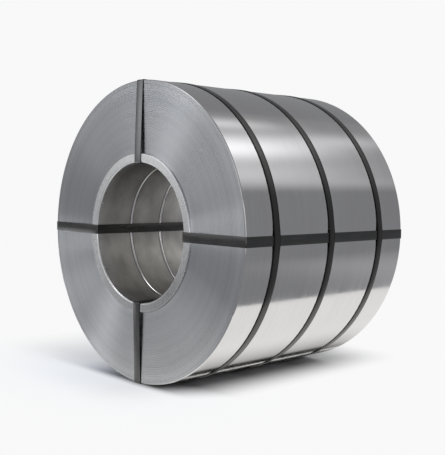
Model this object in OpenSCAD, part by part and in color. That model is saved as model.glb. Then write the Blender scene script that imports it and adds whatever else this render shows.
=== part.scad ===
// Coil of steel strip on a core sleeve, bound with flat steel straps.
// It lies on its side: the axis runs along Y, the floor is z = 0,
// and the origin is on the floor under the middle of the coil.

/* [Coil] */
// Outer diameter of the wound strip
coil_d = 1100; // [900:10:1300]
// Width of the strip, the length of the coil along its axis
coil_w = 840; // [700:10:1100]
// Thickness of the strip, seen where its outer turn ends
strip_t = 2; // [0.8:0.1:4]
// Place of the strip's outer end, in degrees round the axis from +X towards +Z
tail_angle = 205; // [0:5:355]
// Rounding of the edge between an end and the outside
coil_edge_r = 3; // [1:0.5:6]
// Distance between the turn lines that show on the ends
turn_pitch = 6; // [4:0.5:16]
// Depth of a turn line
turn_depth = 1; // [0.4:0.1:2]
// Width of a turn line at its mouth
turn_mouth = 1.4; // [0.6:0.1:3]

/* [Core sleeve] */
// Clear diameter inside the sleeve, the eye of the coil
eye_d = 508; // [420:2:610]
// Thickness of the sleeve's wall
sleeve_wall = 5; // [3:0.5:10]
// Width of the flat collar at each end, from the eye outwards
collar_w = 34; // [20:1:60]
// How far a collar stands out from the end of the coil
collar_proud = 8; // [6:0.5:16]
// Rounding of a collar's front edges
collar_edge_r = 3; // [1:0.5:5]
// Height of the half-round beads inside the sleeve
bead_h = 3; // [1.5:0.5:5]
// Distance of the first bead from the end of the coil
bead_inset = 156; // [100:1:200]
// Distance from the first bead to the second
bead_pitch = 147; // [60:1:160]
// Clearance between the sleeve and the bore of the coil
sleeve_gap = 0.6; // [0.3:0.1:0.9]

/* [Straps] */
// Width of the strap
strap_w = 35; // [19:1:51]
// Thickness of the strap
strap_t = 2; // [0.8:0.1:3]
// Distance from the end of the coil to the middle of the nearest strap round the outside
hoop_inset = 140; // [60:5:220]
// Length over which the two ends of a strap overlap
lap_l = 96; // [70:1:140]
// Clearance between a strap and what it lies on
seat_gap = 0.3; // [0.2:0.05:0.5]

/* [Strap seals] */
// Length of the folded steel seal that holds the two ends of a strap
seal_l = 52; // [30:1:64]
// Thickness of the seal's sheet
seal_t = 1.2; // [0.8:0.1:2]
// Radius of the notches that are crimped into the seal's edges
notch_r = 4.5; // [2:0.5:6]
// Distance between the two notches along one edge
notch_pitch = 24; // [14:1:30]
// Place of the outer straps' seals, in degrees round the axis from +X towards +Z
hoop_seal_angle = 150; // [100:5:170]

/* [Hidden] */
$fn = 180;
// Sides of the small circles that the through straps bend over
bend_fn = 32;
// How far a cut runs past the face that it opens
overrun = 5;
// How far inside the circle a straight run of an outer strap starts
landing_sink = 0.05;

coil_r = coil_d / 2;
coil_half = coil_w / 2;
eye_r = eye_d / 2;
collar_r = eye_r + collar_w;
sleeve_r = eye_r + sleeve_wall;
sleeve_half = coil_half + collar_proud;
coil_bore_r = sleeve_r + sleeve_gap;
hoop_r = coil_r + seat_gap;
hoop_top_r = hoop_r + strap_t;
hoop_y = coil_half - hoop_inset;
bead_ys = [for (side = [-1, 1], step = [0, 1]) side * (coil_half - bead_inset - step * bead_pitch)];

// A flat strap in the round eye touches it with its two edges
bead_top_r = eye_r - bead_h;
eye_sag = bead_top_r - sqrt(pow(bead_top_r, 2) - pow(strap_w / 2, 2));

// Centres, along the axis and out from it, of the two rounded edges that a
// through strap spans on an end of the coil, and the straight run between them
collar_bend = [sleeve_half - collar_edge_r, collar_r - collar_edge_r];
coil_bend = [coil_half - coil_edge_r, coil_r - coil_edge_r];
run_l = norm(coil_bend - collar_bend);
run_angle = atan2(coil_bend[1] - collar_bend[1], coil_bend[0] - collar_bend[0])
    - asin((collar_edge_r - coil_edge_r) / run_l);

// A strap round the outside is pulled straight over each through strap: the corner
// that it bends over, across and out from the axis, and the angle that it bends by
lift_corner = [strap_w / 2 + seat_gap, hoop_top_r + seat_gap];
lift_bend = atan2(lift_corner[0], lift_corner[1]) + acos(hoop_r / norm(lift_corner));

// The axis is as high as the outer straps need, which lie on the floor where they
// cross the lowest through strap
axis_z = lift_corner[1] + strap_t;

strip_color = [0.56, 0.57, 0.59];
sleeve_color = [0.76, 0.77, 0.78];
strap_color = [0.13, 0.13, 0.14];

// Puts what is drawn round the Z axis on the coil's axis, with angles from +X towards +Z
module on_axis() {
    translate([0, 0, axis_z])
        rotate([90, 0, 0])
            children();
}

// Puts what is drawn along the axis (first) and out from it (second) into the
// half plane of a through strap, turned round the axis from the top
module in_strap_plane(turn) {
    translate([0, 0, axis_z])
        rotate([0, turn, 0])
            rotate([90, 0, 90])
                children();
}

// A rectangle in section, from one radius to another
module ring_section(r_in, r_out, y_low, y_high) {
    translate([r_in, y_low])
        square([r_out - r_in, y_high - y_low]);
}

// The wound strip in section, its outer edges rounded
module strip_section() {
    flat_half = coil_half - coil_edge_r;
    flat_r = coil_r - coil_edge_r;
    ring_section(coil_bore_r, flat_r, -coil_half, coil_half);
    ring_section(coil_bore_r, coil_r, -flat_half, flat_half);
    for (side = [-1, 1])
        translate([flat_r, side * flat_half])
            circle(r = coil_edge_r);
}

// The lines between the turns, cut into both ends
module turn_lines() {
    first_r = coil_r - coil_edge_r - turn_pitch;
    for (side = [-1, 1], r = [first_r : -turn_pitch : collar_r])
        translate([r, side * coil_half])
            polygon([
                [-turn_mouth / 2, 0],
                [-turn_mouth / 2, side * overrun],
                [turn_mouth / 2, side * overrun],
                [turn_mouth / 2, 0],
                [0, -side * turn_depth]
            ]);
}

// The step down from the strip's outer end to the turn below it, which
// comes up to the outer turn again a quarter of the way round
module tail_step() {
    rotate(tail_angle)
        linear_extrude(coil_w + 2 * overrun, center = true)
            difference() {
                translate([-coil_r / 2, 0])
                    square(2 * coil_r);
                translate([-strip_t, 0])
                    circle(r = coil_r);
            }
}

module coil() {
    color(strip_color)
        on_axis()
            difference() {
                rotate_extrude()
                    difference() {
                        strip_section();
                        turn_lines();
                    }
                tail_step();
            }
}

// A collar in section, its two front edges rounded
module collar_section() {
    back_y = coil_half + seat_gap;
    front_y = sleeve_half - collar_edge_r;
    ring_section(eye_r, collar_r, back_y, front_y);
    ring_section(eye_r + collar_edge_r, collar_r - collar_edge_r, back_y, sleeve_half);
    for (r = [eye_r + collar_edge_r, collar_r - collar_edge_r])
        translate([r, front_y])
            circle(r = collar_edge_r);
}

module sleeve() {
    wall_half = sleeve_half - collar_edge_r;
    color(sleeve_color)
        on_axis()
            rotate_extrude() {
                ring_section(eye_r, sleeve_r, -wall_half, wall_half);
                collar_section();
                mirror([0, 1])
                    collar_section();
                for (y = bead_ys)
                    translate([eye_r, y])
                        circle(r = bead_h);
            }
}

// The outline of a strap round the outside, a given distance off its underside:
// a circle with a straight lift over each of the four through straps
module hoop_outline(off) {
    corner = lift_corner + off * [tan(lift_bend / 2), 1];
    landing = (hoop_r + off - landing_sink) * [sin(lift_bend), cos(lift_bend)];
    circle(r = hoop_r + off);
    for (turn = [0 : 90 : 270])
        rotate(turn)
            polygon([
                [0, 0],
                landing,
                corner,
                [-corner[0], corner[1]],
                [-landing[0], landing[1]]
            ]);
}

// A strap round the outside, its middle at y, with the lap of its two ends
module hoop_strap(y) {
    lap_angle = lap_l / hoop_top_r * 180 / PI;
    color(strap_color)
        translate([0, y, 0])
            on_axis() {
                linear_extrude(strap_w, center = true)
                    difference() {
                        hoop_outline(strap_t);
                        hoop_outline(0);
                    }
                rotate(hoop_seal_angle - lap_angle / 2)
                    rotate_extrude(angle = lap_angle)
                        ring_section(hoop_r + strap_t / 2, hoop_top_r + strap_t, -strap_w / 2, strap_w / 2);
            }
}

// The taut outline of a through strap in section: it bends over the beads,
// the collars and the edges of the coil, a given distance off them
module taut_outline(off) {
    supports = [
        [coil_half - bead_inset, bead_top_r - eye_sag, 0],
        [collar_bend[0], eye_r + collar_edge_r - eye_sag, collar_edge_r],
        [collar_bend[0], collar_bend[1], collar_edge_r],
        [coil_bend[0], coil_bend[1], coil_edge_r]
    ];
    hull()
        for (side = [-1, 1], s = supports)
            translate([side * s[0], s[1]])
                circle(r = s[2] + off, $fn = bend_fn);
}

// Puts what is drawn along a strap (first) and up from its underside (second)
// at the middle of the straight run on the far end of the coil
module on_far_run() {
    translate(collar_bend)
        rotate(run_angle)
            translate([run_l / 2, -collar_edge_r - seat_gap])
                mirror([0, 1])
                    children();
}

// A strap through the eye and back along the outside, with the lap of its two ends
module eye_strap(turn) {
    color(strap_color)
        in_strap_plane(turn) {
            linear_extrude(strap_w, center = true)
                difference() {
                    taut_outline(seat_gap + strap_t);
                    taut_outline(seat_gap);
                }
            linear_extrude(strap_w, center = true)
                on_far_run()
                    translate([-lap_l / 2, strap_t / 2])
                        square([lap_l, strap_t * 3 / 2]);
        }
}

// A folded seal over the lap of a strap, with notches crimped into both edges.
// X runs along the strap, Y up from its underside and Z across it.
module strap_seal() {
    inner_w = strap_w + 2 * seat_gap;
    outer_w = inner_w + 2 * seal_t;
    inner_h = 2 * strap_t + seat_gap;
    color(strap_color)
        difference() {
            translate([-seal_l / 2, 0, -outer_w / 2])
                cube([seal_l, inner_h + seal_t, outer_w]);
            translate([-seal_l / 2 - overrun, -overrun, -inner_w / 2])
                cube([seal_l + 2 * overrun, inner_h + overrun, inner_w]);
            for (x = [-notch_pitch / 2, notch_pitch / 2], side = [-1, 1])
                translate([x, -overrun, side * outer_w / 2])
                    rotate([-90, 0, 0])
                        cylinder(r = notch_r, h = inner_h + seal_t + 2 * overrun);
        }
}

module hoop_seal(y) {
    translate([0, y, 0])
        on_axis()
            rotate(hoop_seal_angle - 90)
                translate([0, hoop_r, 0])
                    strap_seal();
}

module eye_seal(turn) {
    in_strap_plane(turn)
        on_far_run()
            strap_seal();
}

coil();
sleeve();
hoop_strap(-hoop_y);  // hoop_strap_near
hoop_strap(0);  // hoop_strap_middle
hoop_strap(hoop_y);  // hoop_strap_far
eye_strap(0);  // eye_strap_top
eye_strap(90);  // eye_strap_right
eye_strap(180);  // eye_strap_bottom
eye_strap(270);  // eye_strap_left
hoop_seal(-hoop_y);  // hoop_seal_near
hoop_seal(0);  // hoop_seal_middle
hoop_seal(hoop_y);  // hoop_seal_far
eye_seal(0);  // eye_seal_top
eye_seal(90);  // eye_seal_right
eye_seal(180);  // eye_seal_bottom
eye_seal(270);  // eye_seal_left
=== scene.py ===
# %% [markdown]
# # A coil of steel strip, bound with flat straps
# The CAD model fixes where everything is: the coil's axis runs along Y, +Z is up and the floor is z = 0.
# This lesson dresses that model. Each piece is modelled again with the detail a catalogue picture shows,
# in the place of its CAD node, and gets a material built from nodes. All sizes are in metres.

# %% Load the CAD frame and read its main sizes
import math

import bpy
import bmesh
from mathutils import Matrix, Vector


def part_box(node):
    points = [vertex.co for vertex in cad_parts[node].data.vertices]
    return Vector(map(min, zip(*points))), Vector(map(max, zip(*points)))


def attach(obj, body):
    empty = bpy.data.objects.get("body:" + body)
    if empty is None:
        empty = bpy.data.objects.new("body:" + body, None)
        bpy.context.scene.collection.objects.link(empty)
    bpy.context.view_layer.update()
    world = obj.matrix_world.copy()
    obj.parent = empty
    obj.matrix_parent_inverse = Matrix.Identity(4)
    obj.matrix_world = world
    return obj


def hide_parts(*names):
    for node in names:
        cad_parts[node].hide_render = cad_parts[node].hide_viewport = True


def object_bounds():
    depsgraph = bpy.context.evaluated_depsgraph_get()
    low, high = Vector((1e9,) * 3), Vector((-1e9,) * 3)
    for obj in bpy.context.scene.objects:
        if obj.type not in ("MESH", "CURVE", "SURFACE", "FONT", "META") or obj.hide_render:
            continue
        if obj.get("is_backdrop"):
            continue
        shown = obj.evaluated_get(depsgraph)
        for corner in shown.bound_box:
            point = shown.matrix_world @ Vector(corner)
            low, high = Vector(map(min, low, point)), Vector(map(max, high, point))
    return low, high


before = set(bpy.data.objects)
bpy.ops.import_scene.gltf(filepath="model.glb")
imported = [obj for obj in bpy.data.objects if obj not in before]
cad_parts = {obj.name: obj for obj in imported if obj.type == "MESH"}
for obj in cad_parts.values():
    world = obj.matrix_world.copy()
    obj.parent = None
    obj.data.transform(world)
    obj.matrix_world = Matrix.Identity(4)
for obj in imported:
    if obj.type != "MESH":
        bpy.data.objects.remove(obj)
cad_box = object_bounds()

MM = 0.001
hoop_low, hoop_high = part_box("hoop_strap_middle")
axis_z = (hoop_low.z + hoop_high.z) / 2
coil_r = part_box("coil")[1].x
coil_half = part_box("coil")[1].y
collar_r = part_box("sleeve")[1].x
sleeve_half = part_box("sleeve")[1].y
strap_w = hoop_high.y - hoop_low.y
hoop_y = (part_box("hoop_strap_far")[0].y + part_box("hoop_strap_far")[1].y) / 2
HOOPS = {"near": -hoop_y, "middle": 0.0, "far": hoop_y}
print(f"axis {axis_z:.4f} m up, coil radius {coil_r:.4f}, half width {coil_half:.4f}, "
      f"collar radius {collar_r:.4f}, strap {strap_w:.4f} wide, hoops at {hoop_y:.3f} and 0")

# %% [markdown]
# ## Camera
# The camera was solved from the photograph: the outlines of the near end, the eye and the straps fix
# where it stands, in coil radii from the coil's middle, and how it is turned. A camera's own axes are
# right, up and backwards, so its matrix can be filled straight from those three directions.

# %% Place the camera
FRAME_HEIGHT_PX = 455
FOCAL_PX = 813.75
SENSOR_HEIGHT = 36.0
CAMERA_IN_RADII = Vector((4.2732, -4.0381, 0.3455))
YAW, PITCH, ROLL = math.radians(46.672), math.radians(-3.2256), math.radians(0.841)

view_way = Vector((-math.sin(YAW) * math.cos(PITCH), math.cos(YAW) * math.cos(PITCH), math.sin(PITCH)))
level_right = view_way.cross(Vector((0, 0, 1))).normalized()
level_up = level_right.cross(view_way)
camera_right = math.cos(ROLL) * level_right + math.sin(ROLL) * level_up
camera_up = math.cos(ROLL) * level_up - math.sin(ROLL) * level_right

camera_data = bpy.data.cameras.new("photo_camera")
camera_data.sensor_fit = "VERTICAL"
camera_data.sensor_height = SENSOR_HEIGHT
camera_data.lens = FOCAL_PX / FRAME_HEIGHT_PX * SENSOR_HEIGHT
camera = bpy.data.objects.new("photo_camera", camera_data)
bpy.context.scene.collection.objects.link(camera)
turn = Matrix((camera_right, camera_up, -view_way)).transposed().to_4x4()
camera.matrix_world = Matrix.Translation(Vector((0, 0, axis_z)) + coil_r * CAMERA_IN_RADII) @ turn
bpy.context.scene.camera = camera
bpy.context.scene.view_settings.view_transform = "Standard"
print("camera at", [round(c, 3) for c in camera.matrix_world.translation],
      "lens", round(camera_data.lens, 2))

# %% [markdown]
# ## Small tools for node trees
# Every material below is a chain of nodes. Short helpers keep the chains readable: they add a node, join
# sockets and do sums. Patterns read Object coordinates, moved so that the coil's axis is at the middle,
# because then a pattern stays on the steel whichever way the finished part is turned.

# %% Helpers that add and join nodes
def join(tree, out_socket, in_socket):
    tree.links.new(out_socket, in_socket)


def feed(tree, value, in_socket):
    """Lets an input follow a socket, or sets it to a plain value."""
    if isinstance(value, bpy.types.NodeSocket):
        join(tree, value, in_socket)
    elif value is not None:
        in_socket.default_value = value


def add_node(tree, kind, inputs=None, **settings):
    """A new node with its options set and its inputs, by name or number, fed."""
    new = tree.nodes.new(kind)
    for key, value in settings.items():
        setattr(new, key, value)
    for key, value in (inputs or {}).items():
        feed(tree, value, new.inputs[key])
    return new


print("helpers for nodes ready")

# %% Helpers for sums
SMOOTH = "SMOOTHSTEP"


def calc(tree, operation, first, second=None, kind="ShaderNodeMath"):
    """A Math node. Each input is a socket or a number; the answer is the output socket."""
    return add_node(tree, kind, {0: first, 1: second}, operation=operation).outputs[0]


def chain(tree, operation, values):
    total, *others = values
    for value in others:
        total = calc(tree, operation, total, value)
    return total


def times(tree, *values):
    return chain(tree, "MULTIPLY", values)


def plus(tree, *values):
    return chain(tree, "ADD", values)


def opposite(tree, share):
    """What a share leaves over: 1 for 0 and 0 for 1."""
    return calc(tree, "SUBTRACT", 1.0, share)


def weighted(tree, *pairs):
    """A sum of sockets, each times its weight."""
    return plus(tree, *(times(tree, value, weight) for value, weight in pairs))


def fit(tree, value, low, high, to_low=0.0, to_high=1.0, curve="LINEAR"):
    """Maps low..high to to_low..to_high and holds it there."""
    inputs = {"Value": value, "From Min": low, "From Max": high, "To Min": to_low, "To Max": to_high}
    new = add_node(tree, "ShaderNodeMapRange", inputs, clamp=True, interpolation_type=curve)
    return new.outputs["Result"]


def soft_spot(tree, x, y, middle, spread, level):
    """A patch that is brightest in its middle and fades like a bell curve."""
    squares = []
    for value, centre, width in zip((x, y), middle, spread):
        off = calc(tree, "DIVIDE", calc(tree, "SUBTRACT", value, centre), width)
        squares.append(times(tree, off, off))
    return times(tree, calc(tree, "EXPONENT", times(tree, plus(tree, *squares), -1.0)), level)


def off_nearest(tree, value, middles):
    """How far a value is from the nearest of some middles."""
    offs = [calc(tree, "ABSOLUTE", calc(tree, "SUBTRACT", value, middle)) for middle in middles]
    return chain(tree, "MINIMUM", offs)


print("helpers for sums ready")

# %% Helpers for places, patterns and colours
WORLD_ORIGIN, COIL_MIDDLE = (0, 0, 0), (0, 0, axis_z)
VECTOR_MATH = "ShaderNodeVectorMath"


def object_place(tree, origin=COIL_MIDDLE):
    """Object coordinates counted from an origin: the vector and its X, Y and Z."""
    where = add_node(tree, "ShaderNodeTexCoord").outputs["Object"]
    moved = calc(tree, "SUBTRACT", where, origin, VECTOR_MATH)
    return moved, *add_node(tree, "ShaderNodeSeparateXYZ", {0: moved}).outputs


def radius_of(tree, x, z):
    return calc(tree, "SQRT", plus(tree, times(tree, x, x), times(tree, z, z)))


def noise(tree, vector, scale, detail=3.0, stretch=(1, 1, 1)):
    """Cloudy noise, with its pattern squeezed along each axis by stretch."""
    squeezed = calc(tree, "MULTIPLY", vector, stretch, VECTOR_MATH)
    inputs = {"Vector": squeezed, "Scale": scale, "Detail": detail}
    return add_node(tree, "ShaderNodeTexNoise", inputs).outputs["Fac"]


def line_noise(tree, value, scale, detail):
    """Noise along one number, for rings and stripes."""
    inputs = {"W": value, "Scale": scale, "Detail": detail}
    return add_node(tree, "ShaderNodeTexNoise", inputs, noise_dimensions="1D").outputs["Fac"]


def blend(tree, factor, first, second):
    """From the first colour at 0 to the second at 1; a colour is a socket or three numbers."""
    new = add_node(tree, "ShaderNodeMix", {"Factor": factor}, data_type="RGBA")
    for key, value in (("A", first), ("B", second)):
        socket = next(s for s in new.inputs if s.name == key and s.type == "RGBA")
        feed(tree, value if isinstance(value, bpy.types.NodeSocket) else (*value, 1), socket)
    return next(s for s in new.outputs if s.type == "RGBA")


print("helpers for patterns ready")

# %% [markdown]
# ## Drawing a line to model from
# Coil, sleeve and straps all start as one line of edges. A plane is added and merged to a single vertex,
# and the vertex is extruded from point to point, as with E in edit mode. The line is then spun round the
# axis or widened into a band. Drawing real sections this way keeps every radius where the CAD has it.

# %% Line helpers
MERGE_WITHIN = 0.05 * MM


def select_only(*objects):
    """Selects just these objects and makes the last one active."""
    bpy.ops.object.select_all(action="DESELECT")
    for made in objects:
        made.select_set(True)
        bpy.context.view_layer.objects.active = made


def draw_line(name, points):
    """A new object with edges from point to point, left in edit mode with all of it selected."""
    select_only()
    bpy.ops.mesh.primitive_plane_add(size=1)
    made = bpy.context.object
    made.name = made.data.name = name
    bpy.ops.object.mode_set(mode="EDIT")
    bpy.ops.mesh.merge(type="CENTER")
    bpy.ops.transform.translate(value=points[0])
    for here, there in zip(points, points[1:]):
        bpy.ops.mesh.extrude_vertices_move(TRANSFORM_OT_translate={"value": there - here})
    bpy.ops.mesh.select_all(action="SELECT")
    return made


def arc(centre_r, centre_y, radius, start, end, steps):
    """Points of a rounding in section, as (distance from the axis, place along it)."""
    angles = [math.radians(start + (end - start) * i / steps) for i in range(steps + 1)]
    return [(centre_r + radius * math.cos(a), centre_y + radius * math.sin(a)) for a in angles]


def settle_mesh(made, smooth_below):
    """Merges doubles, turns faces outwards, leaves edit mode and shades by angle, given in degrees."""
    bpy.ops.mesh.select_all(action="SELECT")
    bpy.ops.mesh.remove_doubles(threshold=MERGE_WITHIN)
    bpy.ops.mesh.normals_make_consistent(inside=False)
    bpy.ops.object.mode_set(mode="OBJECT")
    bpy.ops.object.shade_smooth_by_angle(angle=math.radians(smooth_below))
    made.data.update()
    print(f"{made.name}: {len(made.data.vertices)} vertices, {len(made.data.polygons)} faces")


print("line helpers ready")

# %% [markdown]
# ## Studio: world
# Bright strip is a mirror, so most of its look is the studio. In the photograph it mirrors grey walls, a
# white sheet that ends a little way out from the coil, and soft lights above, while the background is
# white. Light Path tells the world which ray is asking: the camera sees white, polished metal sees the
# grey walls, and everything else gets plain soft light.

# %% World
BACKDROP_WHITE = (0.945, 0.945, 0.945)
WALL_GREY = (0.285, 0.288, 0.297)
SOFT_FILL = (0.335, 0.335, 0.34)

world = bpy.data.worlds.new("studio")
bpy.context.scene.world = world
world.use_nodes = True
world.cycles.sampling_method = "NONE"
sky = world.node_tree
ray = add_node(sky, "ShaderNodeLightPath")
seen_in_metal = blend(sky, ray.outputs["Is Glossy Ray"], SOFT_FILL, WALL_GREY)
seen = blend(sky, ray.outputs["Is Camera Ray"], seen_in_metal, BACKDROP_WHITE)
join(sky, seen, sky.nodes["Background"].inputs["Color"])
print("world: white to the camera, grey walls in the metal")

# %% [markdown]
# ## Studio: floor
# The floor has two jobs. To the camera it is white and fades into the backdrop, so no horizon shows, but
# it keeps the coil's shadow. In the steel it is a bright sheet with a clear edge, the sharp line low on
# the outside of the coil. One material does both: matt white takes the shadow, and plain white takes over
# with distance from the coil, a little differently for each kind of ray.

# %% Lay the floor
FLOOR_HALF = 12.0


def studio_material(made, works_as_lamp):
    """An empty node tree for the floor or a light card; Cycles aims rays only at what works as a lamp."""
    paint = bpy.data.materials.new(made.name)
    paint.use_nodes = True
    if not works_as_lamp:
        paint.cycles.emission_sampling = "NONE"
    made.data.materials.append(paint)
    tree = paint.node_tree
    tree.nodes.remove(tree.nodes["Principled BSDF"])
    return tree


def mix_shaders(tree, share, first, second):
    """Shows the first shader at a share of 0 and the second at 1."""
    mixed = add_node(tree, "ShaderNodeMixShader", {0: share, 1: first.outputs[0], 2: second.outputs[0]})
    join(tree, mixed.outputs[0], tree.nodes["Material Output"].inputs["Surface"])


def straight_from_steel(tree, ray):
    """1 for a mirror ray that no matt surface has scattered before."""
    unscattered = calc(tree, "LESS_THAN", ray.outputs["Diffuse Depth"], 0.5)
    return times(tree, ray.outputs["Is Glossy Ray"], unscattered)


select_only()
bpy.ops.mesh.primitive_plane_add(size=2 * FLOOR_HALF)
floor = bpy.context.object
floor.name = "studio_floor"
floor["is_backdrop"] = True
tree = studio_material(floor, works_as_lamp=False)
floor_ray = add_node(tree, "ShaderNodeLightPath")
_, x, y, _ = object_place(tree, WORLD_ORIGIN)
print("floor", FLOOR_HALF * 2, "m wide")

# %% [markdown]
# Under soft light a shadow fades at its own pace on each side. This one ends sharply along the coil's
# near end, more softly further left, and draws in towards the foot on the right. The shadow itself stays
# real: each fade is one Map Range along a direction and says how much of it the floor shows.

# %% Say where the shadow fades
DRAWN_IN, DRAWN_IN_Y = 0.10, (-0.27, -0.43)
AT_COIL_X = (-0.65, -0.25)
SHARP_Y, SHARP_SHARE = (-0.39, -0.455), 0.84
SOFT_Y, SOFT_SHARE = (-0.27, -0.53), 0.90

right_side = plus(tree, x, fit(tree, y, *DRAWN_IN_Y, 0.0, DRAWN_IN))
SHADOW_FADES = [  # direction, where the fade starts and ends, how far it goes
    (right_side, 0.14, 0.395, 1.0), (x, -0.12, -0.45, 0.51), (x, -0.35, -1.10, 1.0),
    (y, -0.45, -0.72, 1.0), (y, 0.40, 0.80, 1.0)]
at_coil = fit(tree, x, *AT_COIL_X)
sharp = times(tree, fit(tree, y, *SHARP_Y, 0.0, SHARP_SHARE, SMOOTH), at_coil)
soft = times(tree, fit(tree, y, *SOFT_Y, 0.0, SOFT_SHARE, SMOOTH), opposite(tree, at_coil))
in_shadow = opposite(tree, plus(tree, sharp, soft))
for way, start, end, most in SHADOW_FADES:
    in_shadow = times(tree, fit(tree, way, start, end, 1.0, 1 - most, SMOOTH), in_shadow)
open_floor = opposite(tree, in_shadow)
print(len(SHADOW_FADES) + 2, "fades round the shadow")

# %% [markdown]
# In the steel the sheet ends along straight lines, so plain comparisons draw it. The floor in front of it
# carries a few soft glints, as lamps leave them: the near end, the collar and the beads mirror those.
# Right under the coil the steel sees deep shade with a thin line of light on either side, which makes the
# dark and light lines along the coil's foot.

# %% Lay the sheet and the glints that the steel sees
SHEET_X, SHEET_BACK_Y, SHEET_FRONT_Y = 0.737, 1.9, (-0.80, -0.50)
SHEET_IN_METAL = (1.07, 1.06, 1.02)
BEHIND_GREY, BEHIND_Y, BEHIND_X = (0.46, 0.46, 0.47), (0.3, 1.4), (1.1, 2.0)
FLOOR_GLINTS = [  # middle, spread, tone
    ((-0.36, -1.02), (0.26, 0.22), 0.95), ((-1.05, -0.85), (0.30, 0.22), 0.65),
    ((-2.15, -1.20), (0.75, 0.30), 3.00), ((-3.50, -1.95), (0.60, 0.45), 2.40),
    ((-0.90, -3.00), (1.10, 0.80), 0.42)]

from_middle = calc(tree, "ABSOLUTE", x)
on_sheet = times(tree, calc(tree, "LESS_THAN", from_middle, SHEET_X),
                 calc(tree, "LESS_THAN", y, SHEET_BACK_Y), fit(tree, y, *SHEET_FRONT_Y, curve=SMOOTH))
behind = times(tree, fit(tree, y, *BEHIND_Y, curve=SMOOTH), fit(tree, x, *BEHIND_X, 1.0, 0.0, SMOOTH))
around = blend(tree, behind, WALL_GREY, BEHIND_GREY)
for middle, spread, tone in FLOOR_GLINTS:
    around = blend(tree, soft_spot(tree, x, y, middle, spread, 1.0), around, 3 * (tone,))
lit_floor = blend(tree, on_sheet, around, SHEET_IN_METAL)
print("sheet", 2 * SHEET_X, "m wide and", len(FLOOR_GLINTS), "glints")

# %% Shade the sheet under the coil
DEEP_SHADE, HALF_SHADE, SHADE_EDGE = (0.012, 0.012, 0.012), (0.19, 0.19, 0.19), (0.227, 0.233)
GAP_FROM, GAP_TO, GAP_SHARE = 0.159, 0.178, 0.80

out_of_deep = fit(tree, from_middle, *SHADE_EDGE)
beyond_ends = calc(tree, "GREATER_THAN", calc(tree, "ABSOLUTE", y), coil_half)
lit_share = times(tree, calc(tree, "MAXIMUM", open_floor, opposite(tree, on_sheet)),
                  calc(tree, "MAXIMUM", out_of_deep, beyond_ends))
line_of_light = times(tree, calc(tree, "GREATER_THAN", from_middle, GAP_FROM),
                      calc(tree, "LESS_THAN", from_middle, GAP_TO), GAP_SHARE)
lit_share = calc(tree, "MAXIMUM", lit_share, line_of_light)
shade = blend(tree, out_of_deep, DEEP_SHADE, HALF_SHADE)
steel_sees = blend(tree, lit_share, shade, lit_floor)
print("deep shade up to", SHADE_EDGE[0], "m from the middle")

# %% [markdown]
# Last, the rays are told apart. The camera gets white, with a cool cast painted at the lower left as the
# bluish tint of the shadow there. Steel gets the floor made above. All other light meets the matt floor,
# whose colour is painted darker where the coil touches it, as painted shade, and cooler on the left, and
# the coil still casts a real shadow on it.

# %% Show each ray its floor
SHEET_WHITE, SHEET_SHADOW_COOL, COOL_X = (0.93, 0.93, 0.93), (0.80, 0.87, 1.0), (0.05, -0.35)
COOL_SHADOW_WHITE, COOL_MIDDLE, COOL_SPREAD = (0.875, 0.90, 0.945), (-0.25, -0.48), (0.47, 0.26)
CONTACT_X, CONTACT_SHADE_TONE = 0.12, 0.2

by_camera = floor_ray.outputs["Is Camera Ray"]
# painted cool cast: a bluish tint on the floor where the shadow lies at the lower left
cool_shadow_cast = soft_spot(tree, x, y, COOL_MIDDLE, COOL_SPREAD, 1.0)
camera_sees = blend(tree, cool_shadow_cast, BACKDROP_WHITE, COOL_SHADOW_WHITE)
lit = add_node(tree, "ShaderNodeEmission", {"Color": blend(tree, by_camera, steel_sees, camera_sees)})

# painted cool tint of the shadow on the left side of the matt floor
sheet = blend(tree, fit(tree, x, *COOL_X), SHEET_WHITE, SHEET_SHADOW_COOL)
# painted shade: the matt floor's colour is darker where the coil touches it
off_contact_shade = fit(tree, from_middle, 0.0, CONTACT_X)
sheet = blend(tree, off_contact_shade, [CONTACT_SHADE_TONE * c for c in SHEET_WHITE], sheet)
matt = add_node(tree, "ShaderNodeBsdfDiffuse", {"Color": sheet})
seen_open = times(tree, open_floor, by_camera)
lit_for_ray = calc(tree, "MAXIMUM", straight_from_steel(tree, floor_ray), seen_open)
mix_shaders(tree, lit_for_ray, matt, lit)
print("floor material", len(tree.nodes), "nodes")

# %% [markdown]
# ## Studio: soft lights
# The lights are large glowing cards, each a line extruded into a rectangle. A card can fade along its
# length, and steel shows exactly that fade. The camera looks through the cards, so they never block a
# view from above. Most of them show in the steel only: they shape its reflections and leave the light on
# the floor alone.

# %% Card helpers
LIGHT_Z = 2.75


def hang_card(name, corner, along, across, only_in_steel=True):
    """A glowing, staged rectangle; gives its tree, its X, Y and Z and the socket for its glow."""
    made = draw_line(name, [corner, corner + along])
    bpy.ops.mesh.extrude_region_move(TRANSFORM_OT_translate={"value": across})
    bpy.ops.object.mode_set(mode="OBJECT")
    made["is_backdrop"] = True
    tree = studio_material(made, works_as_lamp=not only_in_steel)
    ray = add_node(tree, "ShaderNodeLightPath")
    shine = add_node(tree, "ShaderNodeEmission")
    unseen = ray.outputs["Is Camera Ray"]
    if only_in_steel:
        unseen = opposite(tree, straight_from_steel(tree, ray))
    mix_shaders(tree, unseen, shine, add_node(tree, "ShaderNodeBsdfTransparent"))
    print("card", name, round(along.length, 2), "by", round(across.length, 2), "m")
    return tree, *object_place(tree, WORLD_ORIGIN)[1:], shine.inputs["Strength"]


def hang_flat(name, corner, size, only_in_steel=True):
    """A level card at the height of the lights."""
    return hang_card(name, Vector((*corner, LIGHT_Z)), Vector((size[0], 0, 0)), Vector((0, size[1], 0)),
                     only_in_steel)


print("cards hang", LIGHT_Z, "m up")

# %% [markdown]
# The main light hangs above and behind the coil. Five lamps behind one diffuser light it unevenly: the
# strongest makes the white patch near the front edge of the coil, and the diffuser's straight side makes
# the border along its flank.

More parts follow.
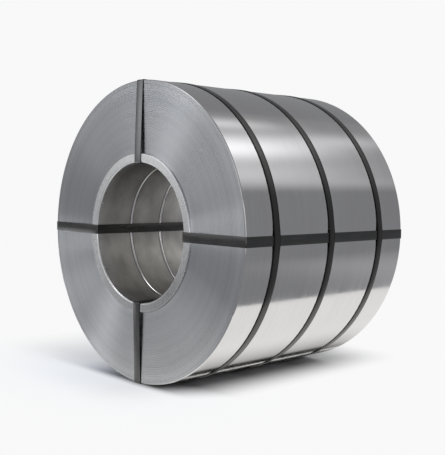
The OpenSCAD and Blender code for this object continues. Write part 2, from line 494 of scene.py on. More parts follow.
# %% Hang the light behind
BEHIND_CARD = (-0.2, 0.2), (3.75, 5.8)
DIFFUSER_LEVEL = 0.335
LAMPS = [  # middle, spread, level
    ((1.20, 1.35), (0.48, 1.02), 1.28), ((0.30, 1.29), (0.19, 0.50), 0.65),
    ((0.67, 2.53), (0.27, 0.66), 0.34), ((2.32, 2.09), (0.74, 1.39), 0.52),
    ((2.85, 3.71), (0.46, 1.57), 0.21)]
tree, x, y, z, glow = hang_flat("light_behind", *BEHIND_CARD, only_in_steel=False)
join(tree, plus(tree, *(soft_spot(tree, x, y, *lamp) for lamp in LAMPS), DIFFUSER_LEVEL), glow)

# %% [markdown]
# Four cards serve the near end. One stands to the left of the camera and shows in the top of the collar
# and in the turns above and below the eye. One hangs overhead and draws the white line along the eye's
# lower edge, and one further out does so for the beads. The last one, behind the camera, puts a thin
# light on every edge that faces it.

# %% Hang the lights in front
FRONT_WAY, FRONT_START = Vector((0.8, -0.6, 0)), Vector((-3.2, -1.77, 0.62))
FRONT_WIDE, FRONT_TALL = 4.5, 1.25
FRONT_LOW_LEVEL, FRONT_LEVEL, FRONT_FULL_Z = 0.28, 1.22, 1.25
FRONT_SIDE_SHARE, FRONT_SIDE_L = 0.45, 1.2
OVERHEAD_CARD, OVERHEAD_SPOT = ((-1.8, -2.5), (3.2, 1.7)), ((-0.95, -1.95), (0.55, 0.6), 1.3)
OVERHEAD_X, OVERHEAD_LEVELS = (-0.6, 0.4), (0.88, 0.25)
BEADS_CARD, BEADS_SPOT = ((-2.3, -4.0), (2.6, 1.5)), ((-1.55, -2.65), (0.7, 0.55), 3.3)
CAMERA_CARD_HALF, CAMERA_CARD_BACK, CAMERA_CARD_LEVEL = 0.9, 0.6, 1.8

tree, x, y, z, glow = hang_card("light_front", FRONT_START, FRONT_WIDE * FRONT_WAY,
                                Vector((0, 0, FRONT_TALL)))
along = weighted(tree, (x, FRONT_WAY.x), (y, FRONT_WAY.y))
first = FRONT_START.dot(FRONT_WAY)
level = fit(tree, z, FRONT_START.z, FRONT_FULL_Z, FRONT_LOW_LEVEL, FRONT_LEVEL)
join(tree, times(tree, level, fit(tree, along, first, first + FRONT_SIDE_L, FRONT_SIDE_SHARE, 1.0)), glow)

tree, x, y, z, glow = hang_flat("light_overhead", *OVERHEAD_CARD)
level = plus(tree, soft_spot(tree, x, y, *OVERHEAD_SPOT), fit(tree, x, *OVERHEAD_X, *OVERHEAD_LEVELS))
join(tree, level, glow)

tree, x, y, z, glow = hang_flat("light_beads", *BEADS_CARD)
join(tree, soft_spot(tree, x, y, *BEADS_SPOT), glow)

card_right, card_up = CAMERA_CARD_HALF * level_right, CAMERA_CARD_HALF * level_up
corner = camera.matrix_world.translation - CAMERA_CARD_BACK * view_way - card_right - card_up
*_, glow = hang_card("light_camera", corner, 2 * card_right, 2 * card_up)
glow.default_value = CAMERA_CARD_LEVEL

# %% [markdown]
# ## The wound strip
# The real coil is some hundred turns of strip, and its ends show them as fine concentric lines. One solid
# with lines cut into its ends looks the same. The section runs out along the near end with a notch for
# every turn, along the outside and back along the far end, and is spun once round the axis. Every third
# notch is deep and in the CAD too; the two between are shallow. The outer end of the strip is a step of
# one thickness: the spin stops a hair short of a full turn, the last quarter is lowered, and the gap left
# is closed with one face.

# %% Draw the section of the wound strip
BORE_R = coil_r - 290.4 * MM
EDGE_R, EDGE_STEPS = 3 * MM, 4
HOLD = 1 * MM
TURN_PITCH, DEEP, DEEP_MOUTH = 6 * MM, 1.0 * MM, 1.4 * MM
SHALLOW, SHALLOW_MOUTH = 0.35 * MM, 0.5 * MM
TURNS_PER_LINE = 3


def end_section():
    """One end from the bore outwards, as (distance from the axis, depth into the end)."""
    points = [(BORE_R, 0.0)]
    lines = int((coil_r - EDGE_R - TURN_PITCH - collar_r) / TURN_PITCH)
    first = coil_r - EDGE_R - TURN_PITCH - lines * TURN_PITCH
    for i in range(TURNS_PER_LINE * lines + 1):
        r = first + i * TURN_PITCH / TURNS_PER_LINE
        mouth, deep = (DEEP_MOUTH, DEEP) if i % TURNS_PER_LINE == 0 else (SHALLOW_MOUTH, SHALLOW)
        points += [(r - mouth / 2, 0.0), (r, deep), (r + mouth / 2, 0.0)]
    return points


near_end = [(r, -coil_half + deep) for r, deep in end_section()]
near_edge = arc(coil_r - EDGE_R, -coil_half + EDGE_R, EDGE_R, -90, 0, EDGE_STEPS)
far_edge = arc(coil_r - EDGE_R, coil_half - EDGE_R, EDGE_R, 0, 90, EDGE_STEPS)
far_end = [(r, coil_half - deep) for r, deep in reversed(end_section())]
outside = [(coil_r, -coil_half + EDGE_R + HOLD), (coil_r, coil_half - EDGE_R - HOLD)]
strip_section = near_end + near_edge + outside + far_edge + far_end + near_end[:1]
print(len(strip_section), "points in the section of the wound strip")

# %% Spin the section and lower the quarter below the strip's outer end
SPIN_STEPS = 116
STRIP_T = 2 * MM
TAIL = math.radians(205)
SEAM = math.radians(0.001)
OUTSIDE_FROM_R = coil_r - EDGE_R - 0.1 * MM
STRIP_SMOOTH = 25

out_way = Vector((math.cos(TAIL), 0, math.sin(TAIL)))
section_points = [r * out_way + Vector((0, y, axis_z)) for r, y in strip_section]
strip_coil = draw_line("strip_coil", section_points)
bpy.ops.mesh.spin(steps=SPIN_STEPS, angle=2 * math.pi - SEAM, center=(0, 0, axis_z), axis=(0, 1, 0),
                  use_auto_merge=False)
mesh = bmesh.from_edit_mesh(strip_coil.data)
for vertex in mesh.verts:
    across, up = vertex.co.x, vertex.co.z - axis_z
    past_tail = (math.atan2(up, across) - TAIL) % (2 * math.pi)
    r = math.hypot(across, up)
    if r > OUTSIDE_FROM_R and SEAM / 2 < past_tail < math.pi / 2:
        lower = (r - STRIP_T * math.cos(past_tail)) / r
        vertex.co.x, vertex.co.z = across * lower, axis_z + up * lower
bmesh.update_edit_mesh(strip_coil.data)

bpy.ops.mesh.select_all(action="SELECT")
bpy.ops.mesh.remove_doubles(threshold=MERGE_WITHIN)
bpy.ops.mesh.select_mode(type="EDGE")
bpy.ops.mesh.select_all(action="DESELECT")
bpy.ops.mesh.select_non_manifold(extend=False, use_wire=False, use_multi_face=False,
                                 use_non_contiguous=False, use_verts=False)
open_edges = sum(e.select for e in bmesh.from_edit_mesh(strip_coil.data).edges)
bpy.ops.mesh.edge_face_add()
bpy.ops.mesh.select_mode(type="VERT")
settle_mesh(strip_coil, STRIP_SMOOTH)
print("edges round the strip's outer end:", open_edges)

# %% [markdown]
# ## The core sleeve
# A steel sleeve lines the eye. Its ends are turned out into flat collars that stand a little proud of the
# coil, and two rolled beads stiffen each half of the bore. A metal worker would roll all that into one
# tube, so here too it is one section, spun. The collar's edges are rounded, more towards the eye than
# outside, and the beads have straight flanks with soft feet: those make the picture's bright lines.

# %% Draw the section of the sleeve
EYE_R = collar_r - 34 * MM
SLEEVE_WALL = 5 * MM
COLLAR_EDGE, COLLAR_EDGE_STEPS = 3 * MM, 6
EYE_EDGE, EYE_EDGE_STEPS = 7 * MM, 8
COLLAR_BACK = coil_half + 0.3 * MM
BEAD_H = 3 * MM
BEAD_HALF = 4.5 * MM
BEAD_SIDE = [  # half width and height, in millimetres, from the foot up
    (6.0, 0.0), (5.2, 0.05), (4.75, 0.18), (4.5, 0.40), (2.9, 2.68), (2.65, 2.86), (2.2, 2.96), (1.5, 3.0)]
BEADS_Y = (coil_half - 156 * MM, coil_half - 303 * MM)


def collar_section(side):
    """One collar, from the eye out to the back of the sleeve."""
    start = [(EYE_R, sleeve_half - EYE_EDGE - HOLD)]
    inner = arc(EYE_R + EYE_EDGE, sleeve_half - EYE_EDGE, EYE_EDGE, 180, 90, EYE_EDGE_STEPS)
    face = [(EYE_R + EYE_EDGE + HOLD, sleeve_half), (collar_r - COLLAR_EDGE - HOLD, sleeve_half)]
    outer = arc(collar_r - COLLAR_EDGE, sleeve_half - COLLAR_EDGE, COLLAR_EDGE, 90, 0, COLLAR_EDGE_STEPS)
    back = [(collar_r, COLLAR_BACK), (EYE_R + SLEEVE_WALL, COLLAR_BACK)]
    return [(r, side * y) for r, y in start + inner + face + outer + back]


def bead_section(y):
    """A rolled bead, drawn towards the middle of the sleeve."""
    flank = [(EYE_R - high * MM, y + out * MM) for out, high in BEAD_SIDE]
    drawn = [(EYE_R, flank[0][1] + HOLD)] + flank
    return drawn + [(r, 2 * y - along) for r, along in reversed(drawn)]


def bore_half(side):
    """The bore from the sleeve's middle out to one collar."""
    points = [p for y in BEADS_Y[::-1] for p in bead_section(y)[::-1]]
    return [(r, side * y) for r, y in points]


sleeve_section = bore_half(1) + collar_section(1) + collar_section(-1)[::-1] + bore_half(-1)[::-1]
sleeve_section.append(sleeve_section[0])
print(len(sleeve_section), "points in the section of the sleeve")

# %% Spin the core sleeve
SLEEVE_STEPS = 180
SLEEVE_SMOOTH = 32
core_sleeve = draw_line("core_sleeve", [Vector((r, y, axis_z)) for r, y in sleeve_section])
bpy.ops.mesh.spin(steps=SLEEVE_STEPS, angle=2 * math.pi, center=(0, 0, axis_z), axis=(0, 1, 0))
settle_mesh(core_sleeve, SLEEVE_SMOOTH)

# %% [markdown]
# ## Bands of strap
# Strapping is a flat ribbon a couple of millimetres thick with slightly rounded edges. The path along its
# underside is drawn as a line, extruded sideways into a band, thickened with Solidify and softened with
# Bevel. A crowned strap is thickest along its middle: its band has several columns, and a vertex group
# scales Solidify down towards the edges. The modifiers are applied, so the finished mesh is what everyone
# gets.

# %% Sheet metal helpers
BEVEL_FROM, SMOOTH_BELOW = math.radians(50), math.radians(25)


def apply_modifier(made, kind, **settings):
    added = made.modifiers.new(kind.title(), kind)
    for key, value in settings.items():
        setattr(added, key, value)
    bpy.ops.object.modifier_apply(modifier=added.name)


def soften_edges(made, width):
    """Bevels the sharp edges and shades the rest smooth."""
    apply_modifier(made, "BEVEL", width=width, segments=2, limit_method="ANGLE", angle_limit=BEVEL_FROM)
    bpy.ops.object.shade_smooth_by_angle(angle=SMOOTH_BELOW)


def face_up(made, up_at):
    """Turns an open sheet's faces to its upper side, which up_at gives at a place; leaves edit mode."""
    bpy.ops.mesh.select_all(action="SELECT")
    bpy.ops.mesh.normals_make_consistent(inside=False)
    mesh = bmesh.from_edit_mesh(made.data)
    mesh.faces.ensure_lookup_table()
    face = mesh.faces[0]
    if face.normal.dot(up_at(face.calc_center_median())) < 0:
        bpy.ops.mesh.flip_normals()
    bpy.ops.object.mode_set(mode="OBJECT")


print("sheet metal helpers ready")

# %% Strap helpers
STRAP_T = 2 * MM
SEAT = 0.3 * MM
STRAP_EDGE = 0.45 * MM
CROWN, CROWN_COLUMNS = 1.0 * MM, 8


def band(name, path, sideways, up_at, crown):
    """A strap whose underside follows the path, as wide as sideways is long."""
    made = draw_line(name, path)
    bpy.ops.mesh.remove_doubles(threshold=MERGE_WITHIN)
    bpy.ops.mesh.select_all(action="SELECT")
    columns = CROWN_COLUMNS if crown else 1
    for _ in range(columns):
        bpy.ops.mesh.extrude_region_move(TRANSFORM_OT_translate={"value": sideways / columns})
    face_up(made, up_at)
    thick = made.vertex_groups.new(name="thickness")
    for vertex in made.data.vertices:
        across = 2 * (vertex.co - path[0]).dot(sideways) / sideways.length_squared - 1
        thick.add([vertex.index], 1 - crown / STRAP_T * across ** 2, "REPLACE")
    apply_modifier(made, "SOLIDIFY", thickness=STRAP_T, offset=1.0, use_even_offset=True,
                   vertex_group=thick.name)
    made.vertex_groups.clear()
    soften_edges(made, STRAP_EDGE)
    return made


def lapped_strap(name, path, lap_path, sideways, up_at, crown=0.0):
    """A closed strap, with the short second layer where its two ends lap joined in."""
    strap = band(name, path + path[:1], sideways, up_at, crown)
    select_only(band(name + "_lap", lap_path, sideways, up_at, crown), strap)
    bpy.ops.object.join()
    print(f"{name}: {len(strap.data.polygons)} faces")
    return strap


print("straps", STRAP_T / MM, "mm thick")

# %% [markdown]
# ## Straps round the outside
# Three straps go round the coil, a little narrower than the others and slightly crowned. In the
# photograph they pass over the straps through the eye, so each lifts off the coil there: it runs straight
# from the steel to the edge of the strap below, over it and down again. The lifting point is a tangent to
# the coil, found with one arc cosine. The strap's ends lap on the side away from the camera, where the
# seal goes.

# %% Draw the three outer straps
OUTER_W = strap_w - 3 * MM
LAP_L = 96 * MM
LAP_AT = math.radians(150)
ARC_STEPS, LAP_STEPS = 40, 8
hoop_r = coil_r + SEAT
lift_r = hoop_r + STRAP_T + SEAT
lift_half = strap_w / 2 + SEAT
lift_angle = math.atan2(lift_half, lift_r) + math.acos(hoop_r / math.hypot(lift_half, lift_r))


def outward(place):
    return Vector((place.x, 0, place.z - axis_z))


def round_axis(angle, r, sideways, y):
    """A point at a radius, with a sideways step along the tangent."""
    out_way = Vector((math.cos(angle), 0, math.sin(angle)))
    along = Vector((-math.sin(angle), 0, math.cos(angle)))
    return Vector((0, y, axis_z)) + r * out_way + sideways * along


def arc_path(start, sweep, steps, r, y):
    return [round_axis(start + sweep * i / steps, r, 0, y) for i in range(steps + 1)]


def outer_strap(name, y):
    path = []
    for quarter in range(4):
        middle = quarter * math.pi / 2
        path += [round_axis(middle, lift_r, side * lift_half, y) for side in (-1, 1)]
        path += arc_path(middle + lift_angle, math.pi / 2 - 2 * lift_angle, ARC_STEPS, hoop_r, y)
    lap_sweep = LAP_L / hoop_r
    lap_path = arc_path(LAP_AT - lap_sweep / 2, lap_sweep, LAP_STEPS, hoop_r + STRAP_T, y)
    return lapped_strap(name, path, lap_path, Vector((0, OUTER_W, 0)), outward, CROWN)


outer_straps = {place: outer_strap(f"outer_strap_{place}", y - OUTER_W / 2) for place, y in HOOPS.items()}
print("lift over a through strap starts", round(math.degrees(lift_angle), 2), "degrees from its middle")

# %% [markdown]
# ## Straps through the eye
# Four straps go through the eye and back along the outside. Pulled tight, each is like a belt round
# pulleys: the beads, the two edges of each collar and the edge of the coil. The belt touches each pulley
# along an arc and runs straight in between. One function finds those arcs from the pulleys' centres and
# radii, so the strap bends where the steel under it does.

# %% Belt round pulleys
BEND_STEPS, SLIGHT_BEND = 8, math.radians(5)


def belt(pulleys):
    """The tight outline round pulleys (place along the axis, distance from it, radius), anticlockwise."""
    count = len(pulleys)
    leaving = []
    for i in range(count):
        (y0, r0, size0), (y1, r1, size1) = pulleys[i], pulleys[(i + 1) % count]
        run, way = math.hypot(y1 - y0, r1 - r0), math.atan2(r1 - r0, y1 - y0)
        leaving.append(way - math.acos((size0 - size1) / run))
    points = []
    for i, (y, r, size) in enumerate(pulleys):
        start = leaving[i - 1]
        swing = (leaving[i] - start) % (2 * math.pi)
        parts = BEND_STEPS if swing > SLIGHT_BEND else 1
        for k in range(parts + 1):
            a = start + swing * k / parts
            points.append((y + size * math.cos(a), r + size * math.sin(a)))
    return points


bead_top = EYE_R - BEAD_H
eye_sag = bead_top - math.sqrt(bead_top ** 2 - (strap_w / 2) ** 2)
half_pulleys = [
    (BEADS_Y[0], bead_top - eye_sag, SEAT),
    (sleeve_half - COLLAR_EDGE, EYE_R + COLLAR_EDGE - eye_sag, COLLAR_EDGE + SEAT),
    (sleeve_half - COLLAR_EDGE, collar_r - COLLAR_EDGE, COLLAR_EDGE + SEAT),
    (coil_half - EDGE_R, coil_r - EDGE_R, EDGE_R + SEAT),
]
strap_outline = belt(half_pulleys + [(-y, r, size) for y, r, size in reversed(half_pulleys)])
print(len(strap_outline), "points along a through strap")

# %% Draw the four through straps
TURNS = {"top": 0, "right": 90, "bottom": 180, "left": 270}
bend_low, bend_high = (Vector((y, r)) for y, r, size in half_pulleys[2:])
far_run = (bend_high - bend_low).normalized()
far_out = Vector((far_run.y, -far_run.x))
far_middle = (bend_low + bend_high) / 2 + (COLLAR_EDGE + SEAT) * far_out


def in_strap_plane(turn, along, r, across=0.0):
    """A point of a through strap, which stands in a plane turned from the top round the axis."""
    return round_axis(math.radians(90 - turn), r, -across, along)


def through_strap(place, turn):
    width = in_strap_plane(turn, 0, 0, strap_w) - in_strap_plane(turn, 0, 0)
    path = [in_strap_plane(turn, y, r, -strap_w / 2) for y, r in strap_outline]
    ring_r = (EYE_R + coil_r) / 2

    def away(centre):
        return centre - in_strap_plane(turn, 0, ring_r)

    ends = [far_middle + STRAP_T * far_out + side * LAP_L / 2 * far_run for side in (-1, 1)]
    lap_path = [in_strap_plane(turn, p.x, p.y, -strap_w / 2) for p in ends]
    return lapped_strap(f"through_strap_{place}", path, lap_path, width, away)


through_straps = {place: through_strap(place, turn) for place, turn in TURNS.items()}

# %% [markdown]
# ## Strap seals
# The two ends of a strap are held by a short folded piece of sheet, crimped so that its edges carry
# half-round notches. It is drawn as a folded line, extruded along the strap, thickened and bevelled, and
# four round bars are subtracted for the notches. One seal is modelled lying on the floor plane and copied
# to its seven places.

# %% Model one seal
SEAL_L, SEAL_T, SEAL_EDGE = 52 * MM, 1.2 * MM, 0.3 * MM
NOTCH_R, NOTCH_PITCH, NOTCH_SIDES, BAR_L = 4.5 * MM, 24 * MM, 32, 50 * MM
seal_half = strap_w / 2 + SEAT
seal_height = 2 * STRAP_T + SEAT

fold = [(-seal_half, 0), (-seal_half, seal_height), (seal_half, seal_height), (seal_half, 0)]
seal = draw_line("strap_seal", [Vector((-SEAL_L / 2, across, up)) for across, up in fold])
bpy.ops.mesh.extrude_region_move(TRANSFORM_OT_translate={"value": (SEAL_L, 0, 0)})
face_up(seal, lambda place: place)
apply_modifier(seal, "SOLIDIFY", thickness=SEAL_T, offset=1.0, use_even_offset=True)

for notch_x in (-NOTCH_PITCH / 2, NOTCH_PITCH / 2):
    for side in (-1, 1):
        select_only()
        bpy.ops.mesh.primitive_cylinder_add(vertices=NOTCH_SIDES, radius=NOTCH_R, depth=BAR_L,
                                            location=(notch_x, side * (seal_half + SEAL_T), 0))
        bar = bpy.context.object
        select_only(seal)
        apply_modifier(seal, "BOOLEAN", operation="DIFFERENCE", object=bar, solver="EXACT")
        bpy.data.objects.remove(bar)
soften_edges(seal, SEAL_EDGE)
print("seal:", len(seal.data.polygons), "faces,", [round(d * 1000, 1) for d in seal.dimensions], "mm")

# %% Copy the seal to its seven places
def seal_copy(name, middle, along, across, up):
    made = bpy.data.objects.new(name, seal.data.copy())
    made.data.name = name
    bpy.context.scene.collection.objects.link(made)
    made.data.transform(Matrix.Translation(middle) @ Matrix((along, across, up)).transposed().to_4x4())
    made.data.update()
    return made


seals = {}
for place, y in HOOPS.items():
    up = Vector((math.cos(LAP_AT), 0, math.sin(LAP_AT)))
    across = Vector((0, 1, 0))
    middle = round_axis(LAP_AT, hoop_r, 0, y)
    seals[f"hoop_seal_{place}"] = seal_copy(f"outer_seal_{place}", middle, across.cross(up), across, up)
for place, turn in TURNS.items():
    origin = in_strap_plane(turn, 0, 0)
    up = in_strap_plane(turn, far_out.x, far_out.y) - origin
    along = in_strap_plane(turn, far_run.x, far_run.y) - origin
    middle = in_strap_plane(turn, far_middle.x, far_middle.y)
    seals[f"eye_seal_{place}"] = seal_copy(f"through_seal_{place}", middle, along, up.cross(along), up)
bpy.data.objects.remove(seal)
print(len(seals), "seals placed")

# %% [markdown]
# ## Finish: the ends of the strip
# Hundreds of cut edges lie side by side, so light spreads across the turns far more than along them. That
# is anisotropy: the Tangent node gives the way round the axis, and the shader is rough across it and
# smooth along it. This alone makes the bright fans above and below the eye. Noise along the radius varies
# tone and gloss from turn to turn, because no two turns are cut quite alike.

# %% Helpers for metal
QUARTER_TURN = 0.25
NOISE_SPAN, WIDE_SPAN, TONE_SPAN = (0.35, 0.65), (0.3, 0.7), (0.25, 0.75)  # where most values lie


def new_material(name):
    made = bpy.data.materials.new(name)
    made.use_nodes = True
    return made, made.node_tree, made.node_tree.nodes["Principled BSDF"]


def as_metal(tree, shader, color, roughness, grain=0.0):
    """Makes the shader a metal; a grain lets its gloss follow the turns, round the Y axis."""
    join(tree, color, shader.inputs["Base Color"])
    join(tree, roughness, shader.inputs["Roughness"])
    shader.inputs["Metallic"].default_value = 1.0
    if grain:
        shader.inputs["Anisotropic"].default_value = grain
        shader.inputs["Anisotropic Rotation"].default_value = QUARTER_TURN
        way_round = add_node(tree, "ShaderNodeTangent", direction_type="RADIAL", axis="Y")
        join(tree, way_round.outputs[0], shader.inputs["Tangent"])


def bump(tree, shader, height, strength, distance):
    inputs = {"Strength": strength, "Distance": distance, "Height": height}
    join(tree, add_node(tree, "ShaderNodeBump", inputs).outputs[0], shader.inputs["Normal"])


print("helpers for metal ready")

# %% Material for the ends
END_DARK, END_PALE, END_TONES = (0.500, 0.515, 0.540), (0.660, 0.675, 0.700), (0.28, 0.72)
END_ROUGH, END_GRAIN = (0.40, 0.33), 0.9
DRIFT, DRIFT_SCALE = 10 * MM, 2.5
TURN_NOISE, BAND_NOISE = (330.0, 4.0), (26.0, 2.0)
LINE_PITCH = 7.9 * MM

strip_ends, tree, shader = new_material("strip_ends")
place, x, _, z = object_place(tree)
radius = radius_of(tree, x, z)
drift = times(tree, noise(tree, place, DRIFT_SCALE), DRIFT)
turn_tone = line_noise(tree, plus(tree, radius, drift), *TURN_NOISE)
band_tone = line_noise(tree, radius, *BAND_NOISE)
lines = calc(tree, "SINE", times(tree, radius, 2 * math.pi / LINE_PITCH))
tone = weighted(tree, (turn_tone, 0.60), (band_tone, 0.40), (lines, 0.07))
color = blend(tree, fit(tree, tone, *END_TONES), END_DARK, END_PALE)
as_metal(tree, shader, color, fit(tree, turn_tone, *WIDE_SPAN, *END_ROUGH), END_GRAIN)
print("material", strip_ends.name, len(tree.nodes), "nodes")

# %% [markdown]
# ## Finish: the outside of the strip
# The outside is one smooth turn of cold-rolled strip. Rolling leaves very fine lines along the strip,
# which here means round the coil, so the same tangent is used with a smaller roughness. Very shallow
# waves bend the reflections a little, and faint smears change the gloss, as handled sheet always shows.

# %% Material for the outside
STRIP_DARK, STRIP_PALE, STRIP_TONES = (0.597, 0.586, 0.607), (0.666, 0.668, 0.675), (0.34, 0.66)
ROLLING = 1.0, 4.0, (1.6, 420.0, 1.6)  # scale, detail and stretch of each noise
STREAKS = 1.0, 5.0, (2.4, 130.0, 2.4)
SMEARS = 3.2, 5.0, (1.0, 1.8, 1.0)
WAVES = 6.0, 2.0
STREAK_ROUGH, SMEAR_ROUGH, STRIP_GRAIN = (0.0, 0.05), (0.085, 0.125), 0.7
WAVE_STRENGTH, WAVE_DEPTH, STREAK_DEPTH = 0.4, 0.5 * MM, 0.03

strip_outside, tree, shader = new_material("strip_outside")
place = object_place(tree)[0]
rolling, streaks, smears = (noise(tree, place, *kind) for kind in (ROLLING, STREAKS, SMEARS))
tone = weighted(tree, (rolling, 0.30), (streaks, 0.30), (smears, 0.40))
color = blend(tree, fit(tree, tone, *STRIP_TONES), STRIP_DARK, STRIP_PALE)
gloss = plus(tree, fit(tree, streaks, *NOISE_SPAN, *STREAK_ROUGH),
             fit(tree, smears, *NOISE_SPAN, *SMEAR_ROUGH))
as_metal(tree, shader, color, gloss, STRIP_GRAIN)
height = plus(tree, noise(tree, place, *WAVES), times(tree, streaks, STREAK_DEPTH))
bump(tree, shader, height, WAVE_STRENGTH, WAVE_DEPTH)
print("material", strip_outside.name, len(tree.nodes), "nodes")

# %% Give the coil its two materials
END_DEPTH = 2 * MM


def two_finishes(made, first, second, takes_second):
    """Gives a piece the first material, and the second on the faces that take it."""
    for finish in (first, second):
        made.data.materials.append(finish)
    for face in made.data.polygons:
        face.material_index = int(takes_second(face))


def on_coil_end(face):
    r = math.hypot(face.center.x, face.center.z - axis_z)
    return r < coil_r - EDGE_R and abs(face.center.y) > coil_half - END_DEPTH


two_finishes(strip_coil, strip_outside, strip_ends, on_coil_end)
print(sum(face.material_index for face in strip_coil.data.polygons), "faces of the coil's ends set")

# %% [markdown]
# ## Finish: the galvanised sleeve
# The sleeve is bright galvanised sheet. Zinc sets in large crystals, so a Voronoi pattern gives each a
# slightly different tone and gloss. The collars keep fine radial marks from forming, and the lower half of
# each collar face is painted darker, as painted shade. Inside the eye the zinc is duller, and its colour
# is painted warmer and darker away from the ends, in cloudy patches, as painted shade in the deep bore.
# The
# beads stand out both ways: painted shade lies along their roots, and their tops are painted lighter,
# partly rubbed bright and partly a painted highlight.

# %% Zinc, oil and dust of the sleeve
ZINC_DARK, ZINC_PALE = (0.80, 0.81, 0.825), (0.93, 0.937, 0.95)
LOW_HALF_SHADE, LOW_SHADE_SHARE, LOW_SHADE_Z = (0.42, 0.423, 0.43), 0.95, (0.0, -0.20)
LOW_SHADE_FROM_R, LOW_SHADE_FULL_R = EYE_R + 0.6 * EYE_EDGE, EYE_R + 1.2 * EYE_EDGE
BORE_SHADE_DARK, BORE_SHADE_PALE = (0.52, 0.508, 0.495), (0.74, 0.728, 0.715)
BORE_SHADE_CLOUDS = 9.0, 5.0, (1.0, 1.6, 1.0)
CRYSTAL_SCALE, RADIAL_NOISE = 95.0, (70.0, 3.0)
UNSHADED_DEPTH = 40 * MM

galvanised, tree, shader = new_material("galvanised_sleeve")
place, x, y, z = object_place(tree)
radius, along = radius_of(tree, x, z), calc(tree, "ABSOLUTE", y)
crystals = add_node(tree, "ShaderNodeTexVoronoi", {"Vector": place, "Scale": CRYSTAL_SCALE})
crystal_tone = add_node(tree, "ShaderNodeSeparateColor", {0: crystals.outputs["Color"]})
radial_marks = line_noise(tree, calc(tree, "ARCTAN2", z, x), *RADIAL_NOISE)
tone = weighted(tree, (crystal_tone.outputs[0], 0.45), (radial_marks, 0.55))
bright = blend(tree, fit(tree, tone, *TONE_SPAN), ZINC_DARK, ZINC_PALE)
# painted shade: the lower half of each collar face is painted darker
low_half_shade = times(tree, fit(tree, z, *LOW_SHADE_Z, 0.0, LOW_SHADE_SHARE), fit(tree, radius, LOW_SHADE_FROM_R, LOW_SHADE_FULL_R))
bright = blend(tree, low_half_shade, bright, LOW_HALF_SHADE)
# painted shade: inside the eye the zinc is painted darker and warmer away from the ends, in cloudy patches
clouds = noise(tree, place, *BORE_SHADE_CLOUDS)
bore_shade = blend(tree, fit(tree, clouds, *NOISE_SPAN), BORE_SHADE_DARK, BORE_SHADE_PALE)
in_bore = times(tree, fit(tree, radius, EYE_R - 1.5 * MM, EYE_R - 0.5 * MM),
                calc(tree, "LESS_THAN", radius, EYE_R + 1 * MM),
                fit(tree, along, coil_half - UNSHADED_DEPTH, sleeve_half, 1.0, 0.0))
zinc = blend(tree, in_bore, bright, bore_shade)
# the zinc carries no painted shade this far from each end
print("zinc clean for", UNSHADED_DEPTH / MM, "mm from each end")

# %% Beads and gloss of the sleeve
ROOT_SHADE, ROOT_SHADE_SHARE = (0.10, 0.098, 0.095), 0.8
ROOT_FROM, ROOT_FULL = BEAD_HALF - 0.5 * MM, BEAD_HALF + 1 * MM
ROOT_THINS, ROOT_ENDS = BEAD_HALF + 2 * MM, BEAD_HALF + 6 * MM
RUBBED_AND_HIGHLIT_ZINC, BEAD_TOP_FROM_R, BEAD_TOP_FULL_R = (0.93, 0.935, 0.945), EYE_R - 0.4 * MM, EYE_R - 0.9 * MM
ZINC_ROUGH, BORE_ROUGH, RUBBED_ROUGH = (0.36, 0.26), 0.02, 0.55
MARK_STRENGTH, MARK_DEPTH = 0.25, 0.2 * MM

off_bead = off_nearest(tree, along, BEADS_Y)
# painted shade along the roots of the beads, in the bore
root_shade = times(tree, fit(tree, off_bead, ROOT_FROM, ROOT_FULL),
                  fit(tree, off_bead, ROOT_THINS, ROOT_ENDS, 1.0, 0.0), in_bore, ROOT_SHADE_SHARE)
zinc = blend(tree, root_shade, zinc, ROOT_SHADE)
# bead tops: partly rubbed bright, partly a painted highlight that makes them lighter
on_bead = fit(tree, radius, BEAD_TOP_FULL_R, BEAD_TOP_FROM_R, 1.0, 0.0)
zinc = blend(tree, on_bead, zinc, RUBBED_AND_HIGHLIT_ZINC)
gloss = plus(tree, fit(tree, tone, *TONE_SPAN, *ZINC_ROUGH), times(tree, in_bore, BORE_ROUGH))
gloss = times(tree, gloss, fit(tree, on_bead, 0.0, 1.0, 1.0, RUBBED_ROUGH))
as_metal(tree, shader, zinc, gloss)
bump(tree, shader, radial_marks, MARK_STRENGTH, MARK_DEPTH)
core_sleeve.data.materials.append(galvanised)
print("material", galvanised.name, len(tree.nodes), "nodes")

# %% [markdown]
# ## Finish: lacquered strapping
# The straps are steel under a thin dark lacquer, so they still shine like metal, only darker. Pulling
# them tight leaves fine scuffs along their length, which need noise that is squeezed across the strap.
# The straps round the outside, over the top, below and level are copies of one lacquer, each painted
# lighter or darker for the light it catches, the one over the top lightest. Along the slit edges of the
# outer straps a dark band is painted shade, and on every strap the faces that look sideways are painted
# near black, as painted shade.

# %% Paint for straps and seals
EDGE_BAND, EDGE_FULL, EDGE_SHADE_PAINT = 7 * MM, 0.4, (0.022, 0.022, 0.023)
SCUFF_SCALE, SCUFF_DETAIL = 1.0, 5.0
PATCHES = 14.0, 3.0
PAINT_ROUGH = (0.24, 0.34)
SCUFF_SPAN, PATCH_SPAN, PATCH_LEAST = (0.52, 0.72), (0.40, 0.65), 0.25
SCUFF_STRENGTH, SCUFF_DEPTH = 0.2, 0.15 * MM


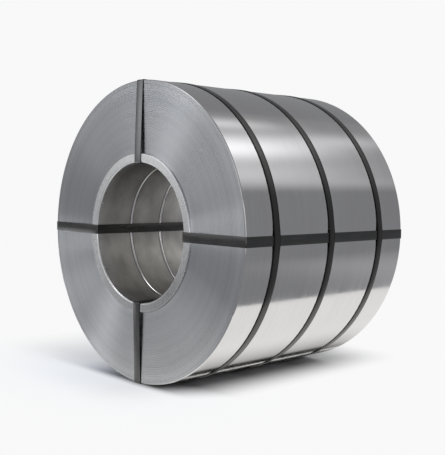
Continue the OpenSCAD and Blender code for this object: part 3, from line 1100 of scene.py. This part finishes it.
def strap_paint(name, dark, scuffed, squeeze, strap_middles=()):
    """Dark lacquer with scuffs; around the straps' middles, if given, painted shade darkens it towards
    their edges.
    """
    made, tree, shader = new_material(name)
    place, _, y, _ = object_place(tree)
    scuffs = noise(tree, place, SCUFF_SCALE, SCUFF_DETAIL, squeeze)
    patches = noise(tree, place, *PATCHES)
    wear = times(tree, fit(tree, scuffs, *SCUFF_SPAN), fit(tree, patches, *PATCH_SPAN, PATCH_LEAST))
    paint = blend(tree, wear, dark, scuffed)
    # painted shade: a dark band along the edges of the outer straps
    if strap_middles:
        band_from, band_full = OUTER_W / 2 - EDGE_BAND, OUTER_W / 2 - EDGE_FULL * EDGE_BAND
        edge = fit(tree, off_nearest(tree, y, strap_middles), band_from, band_full)
        paint = blend(tree, edge, paint, EDGE_SHADE_PAINT)
    as_metal(tree, shader, paint, fit(tree, patches, *WIDE_SPAN, *PAINT_ROUGH))
    bump(tree, shader, scuffs, SCUFF_STRENGTH, SCUFF_DEPTH)
    print("material", name, len(tree.nodes), "nodes")
    return made


ACROSS_X, ACROSS_Y, ACROSS_Z = (900.0, 6.0, 6.0), (6.0, 900.0, 6.0), (6.0, 6.0, 900.0)
# copies of one lacquer, each painted lighter or darker for the light its straps catch
outer_paint = strap_paint("strap_paint_outer", (0.074, 0.073, 0.072), (0.14, 0.14, 0.14), ACROSS_Y,
                          tuple(HOOPS.values()))
top_lit_paint = strap_paint("strap_paint_top_lit", (0.222, 0.224, 0.229), (0.382, 0.384, 0.39), ACROSS_X)
bottom_lit_paint = strap_paint("strap_paint_bottom_lit", (0.105, 0.106, 0.109), (0.19, 0.191, 0.195), ACROSS_X)
level_lit_paint = strap_paint("strap_paint_level_lit", (0.095, 0.095, 0.096), (0.18, 0.18, 0.182), ACROSS_Z)
seal_paint = strap_paint("seal_paint", (0.10, 0.10, 0.102), (0.17, 0.17, 0.173), 3 * (420.0,))
# painted shade: near black on the faces of the straps that look sideways
slit_edge_shade = strap_paint("strap_slit_edge", (0.020, 0.020, 0.021), (0.06, 0.06, 0.062), 3 * (90.0,))

# %% Paint the straps and seals
EDGE_ON = 0.8


def paint_strap(made, paint, width_way):
    """Paint on the flats, and painted shade on the slit edges, which face along the width."""
    two_finishes(made, paint, slit_edge_shade, lambda face: abs(face.normal.dot(width_way)) > EDGE_ON)


for made in outer_straps.values():
    paint_strap(made, outer_paint, Vector((0, 1, 0)))
for place, made in through_straps.items():
    upright = place in ("top", "bottom")
    # each through strap takes the lacquer copy painted for the light it catches
    paint = {"top": top_lit_paint, "bottom": bottom_lit_paint}.get(place, level_lit_paint)
    paint_strap(made, paint, Vector((1, 0, 0)) if upright else Vector((0, 0, 1)))
for made in seals.values():
    made.data.materials.append(seal_paint)
print("painted", len(outer_straps) + len(through_straps), "straps and", len(seals), "seals")

# %% [markdown]
# ## Put the pieces on the frame
# Each piece rides on the part's one body and takes the place of its CAD node.

# %% Ride and replace
dressed = [(strip_coil, "coil", "strip_steel"), (core_sleeve, "sleeve", "sleeve_steel")]
dressed += [(made, f"hoop_strap_{place}", "strap_steel") for place, made in outer_straps.items()]
dressed += [(made, f"eye_strap_{place}", "strap_steel") for place, made in through_straps.items()]
dressed += [(made, node, "seal_steel") for node, made in seals.items()]
for made, node, slot in dressed:
    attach(made, "root")
    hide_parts(node)
print(len(dressed), "pieces ride on the frame")

# %% Compare the dressed model's box with the CAD box
visual_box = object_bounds()
for kind, box in (("CAD", cad_box), ("visual", visual_box)):
    print(kind, "box", [[round(c, 4) for c in corner] for corner in box])
